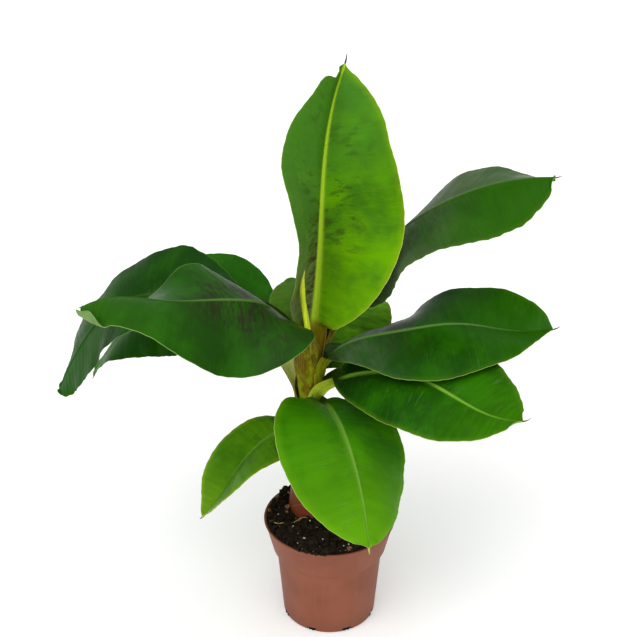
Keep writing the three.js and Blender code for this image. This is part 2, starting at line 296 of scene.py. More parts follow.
leafFinish = {
    "veinSpacing": 1.3,
    "veinRelief": 0.0002,
    "lineLight": 0.07,  # how much the fine lines lighten the blade
    "bandShade": 0.22,
    "footTint": (30, 60, 10),  # next to the stalk, out to footLength of the blade: the leaf's own tint, and on the deep and grey leaves a painted grey sheen
    "footShare": 0.0,
    "footLength": 0.4,
    "tipFrom": 0.45,  # the blade changes to the tip's colour between these shares of its length
    "tipTo": 1.0,
    "valleyShare": 0.0,  # painted shade of the fold beside the rib, on the left half towards the tip
    "valleyReach": [3.0, 16.0],
    "valleyFrom": [0.4, 0.7],
    "rib": (112, 156, 56),
    "ribUnder": (112, 146, 62),
    "ribShare": 0.6,
    "groove": (70, 112, 20),  # painted shade in the channel along the top of the rib
    "grooveShare": 0.3,
    "under": (96, 136, 62),
    "underShare": 0.6,
    "margin": (150, 184, 92),
    "marginShare": 0.8,
    "marginLeft": 1.0,  # how much of the pale margin and its yellowing the left half keeps
    "marginWidth": 0.55,
    "edgeTint": (118, 152, 16),  # a soft yellowing next to the margin
    "edgeShare": 0.08,
    "edgeWidth": 6,
    "leftShade": (40, 80, 24),  # painted shade and sheen: the left half of the blade is painted darker and greyer
    "leftShare": 0.0,
    "leftFoot": (92, 98, 64),
    "leftFootShare": 0.0,
    "leftFootFade": [0.1, 0.45],
    "blotch": (44, 30, 26),
    "blotchFrom": -0.5,  # the share of the blade where they begin
    "blotchShare": 0.3,
    "blotchReach": 24,  # how far from the rib the blotches lie
    "blotchLength": 0.5,
    "streak": (50, 36, 28),  # dark streaks along the cross veins
    "streakLeft": 0.0,
    "streakRight": 0.0,
    "streakReach": 36,
    "streakLength": 0.5,
    # pale scuffs: partly wear, partly painted sheen
    "scuff": (112, 142, 84),
    "scuffShare": 0.06,
    "stalk": (46, 76, 16),  # inside of the channelled stalk
    "stalkDark": (22, 42, 8),
    "sheath": (138, 148, 8),
    "sheathGreen": (100, 118, 4),
    "sheathBrown": (96, 66, 12),
    "freckleShare": 0.95,
    "sheathRed": (122, 58, 34),  # next to the soil
    "dryEdge": (140, 118, 58),
    "thread": (52, 38, 26),
    "specular": 0.035,
    "roughness": 0.36,
    "underRoughness": 0.55,
}

patchPatterns = {  # size, stretch along the cross veins, noise over which it fades in (2 values), seed
    "broad": (40, 1.4, 0.38, 0.62, 1.7),
    "uneven": (22, 1.6, 0.36, 0.6, 6.3),
    "blotch": (6, 2.4, 0.5, 0.6, 5.2),
    "blotchField": (30, 1.2, 0.4, 0.54, 9.1),
    "streak": (2.4, 6.0, 0.44, 0.58, 4.4),
    "streakField": (20, 1.3, 0.34, 0.5, 8.2),
    "scuff": (1.8, 8.0, 0.54, 0.7, 7.7),
    "scuffField": (26, 1.0, 0.45, 0.6, 2.4),
    "freckle": (13, 0.7, 0.38, 0.56, 3.3),
    "stemFreckle": (13, 0.6, 0.42, 0.56, 0.0),
}

# span of the fibres' greens, height over which the red fades, how ragged and how wide the dry edge is
leafSheath = {"green": (0.35, 0.75), "red": (25.0, 95.0), "ragged": -1.6, "dry": (-0.8, 0.1)}
stemSheath = {"green": (0.3, 0.7), "red": (30.0, 90.0), "ragged": -1.8, "dry": (-0.8, 0.3)}


def patches(tree, pattern, alongRib, across, seed):
    size, stretch, low, high, offset = patchPatterns[pattern]
    inputs = {"Along": alongRib, "Across": across, "Size": size, "Stretch": stretch,
              "From": low, "To": high, "Seed": seed + offset}
    return placeGroup(tree, patchGroup, inputs)["Mask"]


def sheathColour(tree, finish, values, fibres, freckles):
    # two greens in lengthwise fibres, brown freckles, red at the soil and a dry ragged edge
    redness = plus(tree, kept(tree, "aboveSoil"), times(tree, fibres, 30.0))
    ragged = plus(tree, kept(tree, "toMargin"), times(tree, fibres, values["ragged"]))
    return layered(tree, finish.sheath, [
        (span(tree, fibres, *values["green"]), finish.sheathGreen),
        (freckles, finish.sheathBrown),
        (span(tree, redness, *values["red"], 1.0, 0.0), finish.sheathRed),
        (span(tree, ragged, *values["dry"], 0.9, 0.0), finish.dryEdge),
    ])


def leafMaterial(name, look, seed):
    finish = finishOf(leafFinish, look)
    material, tree = newMaterial(name)
    alongRib, across, toMargin, share = kept(tree, "alongRib", "acrossRib", "toMargin", "shareAlong")
    under, ribMask, stalkMask = kept(tree, "under", "ribMask", "stalkMask")
    inputs = {"Along": alongRib, "Across": across, "Spacing": finish.veinSpacing, "Seed": seed}
    veins = placeGroup(tree, veinGroup, inputs)
    fromRib = maths(tree, "ABSOLUTE", across)
    onLeft = span(tree, across, -4.0, 4.0)
    sideShare = span(tree, across, -3.0, 3.0, 1.0, finish.marginLeft)

    def mark(pattern):
        return patches(tree, pattern, alongRib, across, seed)

    def fading(value, low, high, most=1.0):
        # from this much at the low value down to nothing
        return span(tree, value, low, high, most, 0.0)

    # broad soft changes of green; at the blade's foot darker or yellower, on some leaves a painted grey sheen;
    # painted shade and sheen on the left half; lighter towards the tip, on the young leaf a painted shade
    # beyond a fold
    uneven = span(tree, mark("uneven"), 0.0, 1.0, 0.45, 1.0)
    nearFoot = fading(share, 0.02, finish.footLength, finish.footShare)
    leftFoot = fading(share, *finish.leftFootFade, finish.leftFootShare)
    foldShade = fading(fromRib, *finish.valleyReach, finish.valleyShare)
    blade = layered(tree, finish.deep, [
        (mark("broad"), finish.fresh),
        # the foot's own tint, with a painted grey sheen on some leaves
        (times(tree, nearFoot, uneven), finish.footTint),
        # painted shade and sheen on the left half
        (times(tree, onLeft, finish.leftShare), finish.leftShade),
        (times(tree, onLeft, leftFoot, uneven), finish.leftFoot),
        # the tip's colour; on the young leaf a painted shade beyond a fold
        (span(tree, share, finish.tipFrom, finish.tipTo, 0.0, finish.tipLight), finish.tip),
        # painted shade of the fold beside the rib
        (times(tree, onLeft, foldShade, span(tree, share, *finish.valleyFrom)), finish.deep),
        (times(tree, veins["Bands"], finish.bandShade), finish.deep),
        (times(tree, veins["Lines"], finish.lineLight), finish.line),
    ])

    # marks: blotches, dark streaks, and pale scuffs that are partly wear and partly painted sheen, all drawn
    # out along the veins
    blotches = times(tree, mark("blotch"), mark("blotchField"),
                     fading(fromRib, finish.blotchReach * 0.4, finish.blotchReach),
                     span(tree, share, finish.blotchFrom, finish.blotchFrom + 0.2),
                     fading(share, 0.05, finish.blotchLength, finish.blotchShare))
    streaks = times(tree, mark("streak"), mark("streakField"),
                    fading(fromRib, finish.streakReach * 0.4, finish.streakReach),
                    fading(share, finish.streakLength * 0.6, finish.streakLength),
                    span(tree, across, -3.0, 3.0, finish.streakRight, finish.streakLeft))
    yellowing = fading(toMargin, 0.5, finish.edgeWidth, finish.edgeShare)
    blade = layered(tree, blade, [
        (blotches, finish.blotch),
        (streaks, finish.streak),
        (times(tree, mark("scuff"), mark("scuffField"), finish.scuffShare), finish.scuff),
        (times(tree, yellowing, sideShare), finish.edgeTint),
    ])
    # painted shade in the rib's channel
    grooveShade = times(tree, kept(tree, "grooveMask"), finish.grooveShare)
    rib = blend(tree, grooveShade, finish.rib, finish.groove)
    margin = fading(toMargin, finish.marginWidth * 0.5, finish.marginWidth, finish.marginShare)
    blade = layered(tree, blade, [
        (under, blend(tree, finish.underShare, blade, finish.under)),
        (times(tree, margin, sideShare), finish.margin),
        (times(tree, ribMask, finish.ribShare), blend(tree, under, rib, finish.ribUnder)),
    ])

    # stalk and sheath
    fibres = drawnOut(tree, across, 1.6, alongRib, 0.03, seed)
    freckles = times(tree, mark("freckle"), finish.freckleShare, span(tree, fibres, 0.3, 0.6, 0.45, 1.0))
    sheath = sheathColour(tree, finish, leafSheath, fibres, freckles)
    inside = blend(tree, span(tree, fibres, 0.35, 0.65), finish.stalk, finish.stalkDark)
    colour = layered(tree, blade, [
        (stalkMask, blend(tree, kept(tree, "sheathMask"), blend(tree, under, inside, sheath), sheath)),
        (span(tree, share, 1.0, 1.006), finish.thread),
    ])

    wear = drawnOut(tree, alongRib, 0.08, across, 0.05, seed)
    rough = span(tree, wear, 0.25, 0.75, finish.roughness - 0.05, finish.roughness + 0.1)
    rough = plus(tree, rough, times(tree, under, finish.underRoughness - finish.roughness))
    rough = plus(tree, rough, times(tree, stalkMask, 0.05))
    onRib = maths(tree, "MAXIMUM", stalkMask, times(tree, ribMask, 0.8))
    height = times(tree, veins["Height"], maths(tree, "SUBTRACT", 1.0, onRib))
    height = plus(tree, height, times(tree, fibres, times(tree, stalkMask, 2.0)))
    finishShader(tree, colour, rough, height, finish.veinRelief, finish.specular)
    return material


print("leaves")

stemLow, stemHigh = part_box("stem")
stemX = (stemLow.x + stemHigh.x) / 2 / mm
stemY = (stemLow.y + stemHigh.y) / 2 / mm
stemFoot, stemTop = stemLow.z / mm, stemHigh.z / mm
stemRadii = [17.2, 16.6, 15.3, 14.6, 14.2, 14, 13.8, 13.7, 13.5, 12.7, 10]  # at even steps, foot to top
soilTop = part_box("soil")[1].z / mm

leafShape = {
    "ribSteps": 120,
    "stalkStart": 7,  # the rib starts this far from the stem's axis
    "bladeSteps": 120,
    "stalkStep": 2.5,  # between stations of the stalk
    "sheathStep": 4.0,
    "outerColumns": 17,
    "openingWidth": 12,  # the blade opens from its stalk over this much half width
    "stalkCurl": 78,  # how far the channelled stalk turns up at its sides
    "threadHalf": 0.45,
    "ribDepth": (4.6, 0.9),  # at the base and at the tip
    "lip": 0.35,
    "groove": 0.7,
    "bladeThick": 0.6,
    "sheathThick": 0.9,
    "sheathBelowSoil": 4,
    "jointDrop": 20,  # a sheath bends into its stalk from this far under the leaf's exit
    "underSkin": 0.3,  # from the stem's outline to the oldest sheath
    "sheathPitch": 1.15,  # from one wrapped sheath to the next
    "sheathOpens": 55,  # a sheath opens over this height under its leaf
    "sheathWrap": 2.95,  # half of the wrap, in radians
    "sheathLeast": 1.15,
    "corrugation": 0.13,
    "corrugationPitch": 7.0,
    "firstSeed": 40,  # of the leaves' waves; each leaf takes the next
    "finishSeed": 3.7,  # from one leaf's marks to the next leaf's
}

usualLeaf = {  # what a leaf has unless it says otherwise
    "sweep": [0, 10, 20],  # how far the side veins lean towards the tip
    "thread": 3,  # length of the dry thread at the tip
    "threadLift": 0.3,
    "waves": 1.0,
    "ragged": 0.35,  # unevenness of the margin
    "stalkHalf": 6.0,
    "ribHalf": (2.5, 0.5),  # half the rib's width at the base and at the tip
    "nicks": {},  # where, how long and how deep a margin dips
    "rolled": {},  # from where, to where, how wide and how many degrees a margin is rolled over
    "paint": {},
}

# Angles in degrees at even steps along the leaf: heading 0 right, 90 back, 180 left, -90 front; rise is
# the rib's slope; fold and curl turn the left and the right half up, at the rib and towards the margin.
# Wide, base and tip give the outline, and a younger leaf has a higher age than those that wrap it.
leaves = {
    "leafTop": dict(
        nodes=["leaf_top"], look="young", foot=256, stalk=27, blade=235, width=160,
        heading=[82, 66, 66, 47], rise=[59, 83, 78, 58], roll=[15, 30, 50],
        foldL=[45, 65, 45, 60], foldR=[45, 25, 35, 10], curlL=[20, 20, 0, 20], curlR=[15, 5, 25, 5],
        wide=0.45, base=0.5, tip=0.9, sweep=[-10, 15, 25], thread=5, threadLift=0.8, age=10, waves=0.8,
        stalkHalf=15, ribHalf=(5.4, 1.2),
        nicks=dict(L=[(0.93, 0.03, 0.45), (0.875, 0.035, -0.26)]),
        paint=dict(stalk=(138, 126, 20), stalkDark=(102, 82, 18), sheath=(140, 130, 14))
    ),
    "leafUpperRight": dict(
        nodes=["leaf_upper_right"], look="grey", foot=241, stalk=74, blade=226, width=132,
        heading=[65, 36, -1, -10, -20], rise=[45, 56, 42, 26, 6], roll=[0, -40, 10],
        foldL=[-25, 30, -30], foldR=[-30, -35, -25], curlL=[-55, -5, -40], curlR=[-25, -25, -40],
        wide=0.55, base=0.3, tip=0.7, thread=6, age=6, waves=0.9, ragged=0.8,
        nicks=dict(L=[(0.92, 0.03, 0.22), (0.83, 0.04, -0.1)])
    ),
    "leafRight": dict(
        nodes=["leaf_right"], look="deep", foot=242, stalk=22, blade=206, width=130,
        heading=[1, -1, 8, -7], rise=[78, 18, 8, -14, 15], roll=[0, -10, 15],
        foldL=[-10, 10, 40], foldR=[5, -10, 40], curlL=[-35, -20, 0], curlR=[-20, -30, -5],
        wide=0.45, base=0.4, tip=0.7, sweep=[20, 0, 20], thread=6, age=7, stalkHalf=12, ribHalf=(3.4, 0.5),
        paint=dict(sheath=(160, 176, 24), sheathGreen=(124, 146, 10), freckleShare=0.5, streakLeft=0.6,
                   streakReach=56)
    ),
    "leafLowerRight": dict(
        nodes=["leaf_lower_right"], look="glossy", foot=227, stalk=28, blade=191, width=116,
        heading=[-32, -24, -42, -47], rise=[51, 13, -8, 26], roll=[0, 15, 15],
        foldL=[15, 10, 20], foldR=[5, 10, 15], curlL=[-20, -25, -10], curlR=[-25, -20, -20],
        wide=0.4, base=0.7, tip=0.8, thread=9, age=4, waves=1.2, stalkHalf=13, ribHalf=(3.4, 0.5),
        paint=dict(sheath=(182, 206, 56), sheathGreen=(146, 178, 20), freckleShare=0.2)
    ),
    "leafFront": dict(
        nodes=["leaf_front"], look="fresh", foot=224, stalk=24, blade=163, width=128,
        heading=[-67, -74, -74, -83], rise=[24, 2, -34, -46], roll=[-5, -20, -10],
        foldL=[15, 0, -10], foldR=[25, 0, 0], curlL=[0, -30, -30], curlR=[-5, -25, -20],
        wide=0.4, base=0.6, tip=0.8, thread=7, age=3, ribHalf=(4.2, 0.6),
        nicks=dict(R=[(0.07, 0.035, 0.28)]),
        paint=dict(thread=(170, 178, 90))
    ),
    "leafSmallLeft": dict(
        nodes=["leaf_small_left"], look="old", foot=193, stalk=10, blade=116, width=82,
        heading=[200, 211, 217, 206], rise=[7, -27, -48, -38], roll=[-20, 10, 20],
        foldL=[0, 25, 30], foldR=[5, 20, 20], curlL=[-30, -15, -10], curlR=[-25, -20, -15],
        wide=0.5, base=0.4, tip=0.8, age=0, waves=0.7
    ),
    "leafLeftFront": dict(
        nodes=["leaf_left_front"], look="maroon", foot=274, stalk=39, blade=195, width=134,
        heading=[215, 227, 206, 187, 188], rise=[62, 53, 22, 6, 10, -28], roll=[-5, 5, 15],
        foldL=[5, -40, 0, -5], foldR=[10, 5, -65], curlL=[5, -35, -35, -70], curlR=[-15, -10, -55],
        wide=0.3, base=0.3, tip=0.6, age=9, waves=0.8, ribHalf=(2.0, 0.5),
        rolled=dict(L=(0.8, 0.92, 17, 230))
    ),
    "leafLeftArch": dict(
        nodes=["leaf_left_arch_base", "leaf_left_arch_end"], look="greyDeep", foot=268, stalk=69,
        blade=232, width=126,
        heading=[151, 165, 165, 181, 171], rise=[66, 4, -10, -53, -67], roll=[-5, -5, -5],
        foldL=[15, 0, -15], foldR=[45, 10, 5], curlL=[-10, -10, -10], curlR=[-10, -15, -15],
        wide=0.4, base=0.9, tip=0.6, age=8, waves=1.6, ragged=0.9
    ),
    "leafLeftBack": dict(
        nodes=["leaf_left_back_base", "leaf_left_back_end"], look="deep", foot=213, stalk=69, blade=246,
        width=116,
        heading=[124, 135, 150, 167, 184], rise=[49, 20, -10, -45, -64], roll=[0, -20, 5],
        foldL=[5, -10, 15], foldR=[25, 15, 5], curlL=[-20, -30, -5], curlR=[-15, -20, -20],
        wide=0.35, base=0.6, tip=0.9, age=2, stalkHalf=12,
        # painted light: the stalk's inside is painted near white, so that it shows lit where it lies under the
        # leaves above
        paint=dict(stalk=(246, 252, 168), stalkDark=(218, 230, 124), footShare=0.0, edgeShare=0.0,
                   marginShare=0.2, deep=(24, 76, 0), fresh=(36, 96, 0))
    ),
    "leafBackLeft": dict(
        nodes=["leaf_back_left"], look="pale", foot=214, stalk=53, blade=87, width=56,
        heading=[108, 100, 97, 86], rise=[88, 63, 20, -22], roll=[-5, 0, 10],
        foldL=[15, -5, 15], foldR=[0, -10, 5], curlL=[-20, -30, -15], curlR=[-20, -30, -20],
        wide=0.45, base=0.7, tip=0.9, age=5, waves=0.6
    ),
    "leafBackRight": dict(
        nodes=["leaf_back_right"], look="lime", foot=206, stalk=35, blade=122, width=98,
        heading=[67, 67, 59, 58], rise=[64, 36, 5, -31], roll=[0, 5, -10],
        foldL=[20, 10, 5], foldR=[5, 10, 15], curlL=[-20, -25, -20], curlR=[-10, -30, -15],
        wide=0.3, base=0.7, tip=1.0, age=1, waves=0.8
    ),
}

looks = {
    "young": dict(
        # the tip's colour, from tipFrom to tipTo, is a painted shade beyond a fold crease
        deep=(58, 110, 16), fresh=(94, 154, 0), tip=(66, 124, 32), tipLight=0.7, tipFrom=0.46, tipTo=0.68,
        valleyShare=0.8, line=(120, 172, 30), rib=(184, 216, 54), ribShare=0.95, grooveShare=0.4,
        groove=(134, 164, 26), margin=(190, 208, 100), edgeTint=(150, 180, 10), edgeShare=0.25,
        edgeWidth=8, footTint=(112, 172, 0), footShare=0.65, footLength=0.6, marginLeft=0.15,
        leftShade=(78, 118, 56), leftShare=0.55, blotch=(54, 76, 20), blotchShare=0.85, blotchFrom=0.2,
        blotchReach=64, blotchLength=1.3, streak=(66, 42, 34), leftFootShare=0.9, leftFoot=(122, 112, 88),
        streakLeft=0.95, streakRight=0.15, under=(110, 156, 50)),
    "fresh": dict(
        deep=(34, 92, 0), fresh=(56, 118, 0), tip=(88, 148, 6), tipLight=0.75, tipFrom=0.25,
        line=(90, 142, 26), bandShade=0.12, footTint=(28, 80, 0), footShare=0.6, footLength=0.5,
        edgeTint=(112, 164, 10), edgeShare=0.25, edgeWidth=9, blotchReach=40,
        blotchLength=0.9, blotch=(40, 74, 14), scuffShare=0.16),
    "glossy": dict(
        deep=(18, 68, 0), fresh=(36, 98, 0), tip=(62, 122, 4), tipLight=0.6, line=(80, 132, 24),
        bandShade=0.16, footTint=(10, 44, 8), footShare=0.85, footLength=0.65, edgeTint=(116, 156, 10),
        edgeShare=0.15, scuffShare=0.16, rib=(130, 184, 58), ribShare=0.8, margin=(140, 162, 74),
        specular=0.05, blotchShare=0.15, roughness=0.3),
    "lime": dict(
        deep=(56, 108, 0), fresh=(90, 148, 0), tip=(110, 166, 6), tipLight=0.4, line=(112, 160, 34),
        margin=(116, 66, 32), marginWidth=0.8, edgeTint=(128, 112, 34), edgeShare=0.3, edgeWidth=3,
        blotchShare=0.5, blotchReach=60, blotchLength=1.2),
    "pale": dict(
        deep=(44, 78, 14), fresh=(66, 102, 24), tip=(60, 98, 20), tipLight=0.4, line=(96, 134, 56),
        margin=(120, 156, 76), blotchShare=0.2),
    "deep": dict(
        deep=(16, 60, 0), fresh=(30, 84, 0), tip=(42, 102, 0), tipLight=0.6, line=(60, 112, 28),
        rib=(104, 146, 72), footTint=(84, 104, 78), footShare=0.6, scuffShare=0.12,
        streakRight=0.3, marginShare=0.6, specular=0.05),
    "maroon": dict(
        deep=(22, 64, 4), fresh=(32, 88, 2), tip=(50, 106, 8), tipLight=0.5, line=(58, 104, 30),
        rib=(104, 146, 66), ribShare=0.5, footTint=(34, 46, 22), footShare=0.55, footLength=0.66,
        blotch=(34, 28, 22), blotchShare=0.9, blotchReach=56, blotchLength=0.8, streak=(40, 28, 24),
        streakLeft=0.7, streakRight=0.9, streakLength=0.62, under=(126, 156, 94), underShare=0.75,
        edgeShare=0.0, marginShare=0.6, specular=0.05),
    "grey": dict(
        deep=(30, 72, 6), fresh=(38, 86, 2), tip=(28, 80, 0), tipLight=0.6, line=(76, 116, 44),
        rib=(100, 140, 60), ribShare=0.5, footTint=(86, 92, 74), footShare=0.85, footLength=0.75,
        streak=(34, 48, 24), streakLeft=0.4, streakRight=0.5, streakLength=0.7, streakReach=60,
        marginShare=0.4, leftShade=(76, 88, 62), leftShare=0.5),
    "greyDeep": dict(
        deep=(18, 56, 6), fresh=(28, 74, 6), tip=(26, 82, 0), tipLight=0.85, line=(52, 98, 30),
        ribShare=0.15, scuff=(92, 118, 92), scuffShare=0.12, footTint=(44, 70, 40), footShare=0.4,
        edgeShare=0.0, marginShare=0.2, specular=0.02),
    "old": dict(
        deep=(54, 104, 6), fresh=(80, 134, 8), tip=(112, 158, 14), tipLight=0.65, line=(104, 150, 34),
        margin=(170, 176, 60), marginShare=0.9, edgeTint=(146, 172, 20), edgeShare=0.3, edgeWidth=7,
        blotchShare=0.55, blotchReach=36, blotchLength=0.9),
}


def along(values, t):
    # a smooth value through evenly spaced values, at t from 0 to 1
    values = np.asarray(values, float)
    last = len(values) - 1
    x = np.clip(np.asarray(t, float), 0, 1) * last
    i = np.minimum(x.astype(int), last - 1)
    f = x - i
    b, c = values[i], values[i + 1]
    a = np.where(i > 0, values[np.maximum(i - 1, 0)], 2 * b - c)
    d = np.where(i + 2 <= last, values[np.minimum(i + 2, last)], 2 * c - b)
    return b + 0.5 * f * (c - a + f * (2 * a - 5 * b + 4 * c - d + f * (3 * (b - c) + d - a)))


def smooth(x, low, high):
    x = np.clip((np.asarray(x, float) - low) / (high - low), 0, 1)
    return x * x * (3 - 2 * x)


def between(first, last, share):
    return first + (last - first) * share


def column(values):
    # one value for each station, to set against the columns of a ring
    return values[:, None]


def unit(vectors):
    return vectors / column(np.linalg.norm(vectors, axis=1))


def outline(leaf, u):
    # half width of the blade as a share of its widest
    u = np.clip(u, 0, 1)
    rising = np.sin(math.pi / 2 * np.minimum(u / leaf["wide"], 1)) ** leaf["base"]
    narrowing = np.clip((u - leaf["wide"]) / (1 - leaf["wide"]), 0, 1)
    falling = np.cos(math.pi / 2 * narrowing).clip(0) ** leaf["tip"]
    return np.where(u < leaf["wide"], rising, falling)


def headingVector(degrees, rise):
    a, e = np.radians(degrees), np.radians(rise)
    return np.stack([np.cos(e) * np.cos(a), np.cos(e) * np.sin(a), np.sin(e)], -1)


def ribDirection(leaf, t):
    return headingVector(along(leaf["heading"], t), along(leaf["rise"], t))


def ribLine(leaf, lengths):
    # points of the rib at these lengths from its start, by the same steps as the source
    total = leaf["stalk"] + leaf["blade"]
    t = np.linspace(0, 1, leafShape["ribSteps"] + 1)
    directions = ribDirection(leaf, t)
    outwards = leafShape["stalkStart"] * headingVector(leaf["heading"][0], 0)
    start = np.array([stemX, stemY, leaf["foot"]]) + outwards
    steps = (directions[1:] + directions[:-1]) / 2 * total / leafShape["ribSteps"]
    points = start + np.vstack([np.zeros(3), np.cumsum(steps, axis=0)])
    return np.stack([np.interp(lengths, t * total, points[:, k]) for k in range(3)], -1)


def stemRadius(z):
    return np.interp((z - stemFoot) / (stemTop - stemFoot), np.linspace(0, 1, len(stemRadii)), stemRadii)


def sheathRadius(age, z):
    # each younger sheath lies inside the older ones, which end one after another
    depth = sum(smooth(other["exit"][1] + 6 - z, 0, 18) for other in leaves.values() if other["age"] < age)
    return stemRadius(z) - leafShape["underSkin"] - leafShape["sheathPitch"] * depth


def findExit(leaf):
    # how far along its rib a leaf leaves the stem, and at what height
    lengths = np.arange(0, 80, 0.5)
    points = ribLine(leaf, lengths)
    reach = np.hypot(points[:, 0] - stemX, points[:, 1] - stemY)
    k = np.argmax(reach > stemRadius(np.minimum(points[:, 2], stemTop)))
    return lengths[k], points[k, 2]


def hermite(p0, d0, p1, d1, t):
    t = column(t)
    size = np.linalg.norm(p1 - p0)
    d0, d1 = d0 * size, d1 * size
    return ((2 * t**3 - 3 * t**2 + 1) * p0 + (t**3 - 2 * t**2 + t) * d0
            + (-2 * t**3 + 3 * t**2) * p1 + (t**3 - t**2) * d1)


def leafStations(leaf):
    # rib points from the bottom of the sheath to the end of the tip's thread, how far along
    # the rib each one is, and how much it belongs to the sheath
    shape = leafShape
    total = leaf["stalk"] + leaf["blade"]
    exitLength, exitHeight = leaf["exit"]
    bottom = soilTop - shape["sheathBelowSoil"]
    joinTop = exitHeight - shape["jointDrop"]
    count = max(int((joinTop - bottom) / shape["sheathStep"]), 3)
    z = np.linspace(bottom, joinTop, count)
    side = headingVector(leaf["heading"][0], 0)
    sheath = np.array([stemX, stemY, 0]) + side * column(sheathRadius(leaf["age"], z))
    sheath[:, 2] = z
    stalkFrom = min(exitLength + 8, leaf["stalk"] - 1)
    s = np.linspace(0, 1, shape["bladeSteps"] + 1)
    u = 0.35 * s + 0.65 * 0.5 * (1 - np.cos(math.pi * s))  # closer together at both ends
    lengths = np.arange(stalkFrom, leaf["stalk"], shape["stalkStep"])
    lengths = np.concatenate([lengths, leaf["stalk"] + leaf["blade"] * u])
    rib = ribLine(leaf, lengths)
    joining = np.linspace(0, 1, 12)[1:-1]
    leaving = ribDirection(leaf, lengths[0] / total)
    joint = hermite(sheath[-1], np.array([0, 0, 1.0]), rib[0], leaving, joining)
    beyond = leaf["thread"] * np.linspace(0, 1, 7)[1:]
    lift = np.array([0, 0, leaf["threadLift"]]) * column(beyond) ** 2 / max(leaf["thread"], 1)
    thread = rib[-1] + column(beyond) * ribDirection(leaf, 1) + lift
    travelled = np.concatenate([
        lengths[0] - (np.linalg.norm(rib[0] - sheath[-1]) + (joinTop - z)),
        lengths[0] - np.linalg.norm(rib[0] - joint, axis=1),
        lengths, total + beyond])
    inSheath = np.concatenate([np.ones(count), 1 - joining, np.zeros(len(lengths) + len(beyond))])
    return np.vstack([sheath, joint, rib, thread]), travelled, inSheath


def crossColumns(half, narrow):
    # distances from the rib: close together over the rib and at the margin
    inner = np.array([0, 0.3, 0.6, 0.85, 1.0, 1.2, 1.6])[None, :] * column(narrow)
    edge = np.minimum(0.9, half * 0.15)
    share = np.arange(1, leafShape["outerColumns"] + 1)[None, :] / leafShape["outerColumns"]
    outer = inner[:, -1:] + column(half - edge - inner[:, -1]) * share
    rim = column(half) - column(edge) * np.array([0.35, 0.0])[None, :]
    return np.concatenate([inner, outer, rim], axis=1)


def ribFrames(leaf, points, t, inSheath):
    # at each station, where forward, left and up point
    forward = unit(np.gradient(points, axis=0))
    turned = np.radians(along(leaf["heading"], t))
    left = np.stack([-np.sin(turned), np.cos(turned), 0 * turned], -1)
    left = unit(left - forward * column((left * forward).sum(1)))
    up = np.cross(forward, left)
    roll = column(np.radians(along(leaf["roll"], t)) * (1 - inSheath))
    return forward, left * np.cos(roll) + up * np.sin(roll), up * np.cos(roll) - left * np.sin(roll)


def ringOf(leftPart, rightPart):
    return np.concatenate([leftPart[:, :0:-1], rightPart], axis=1)


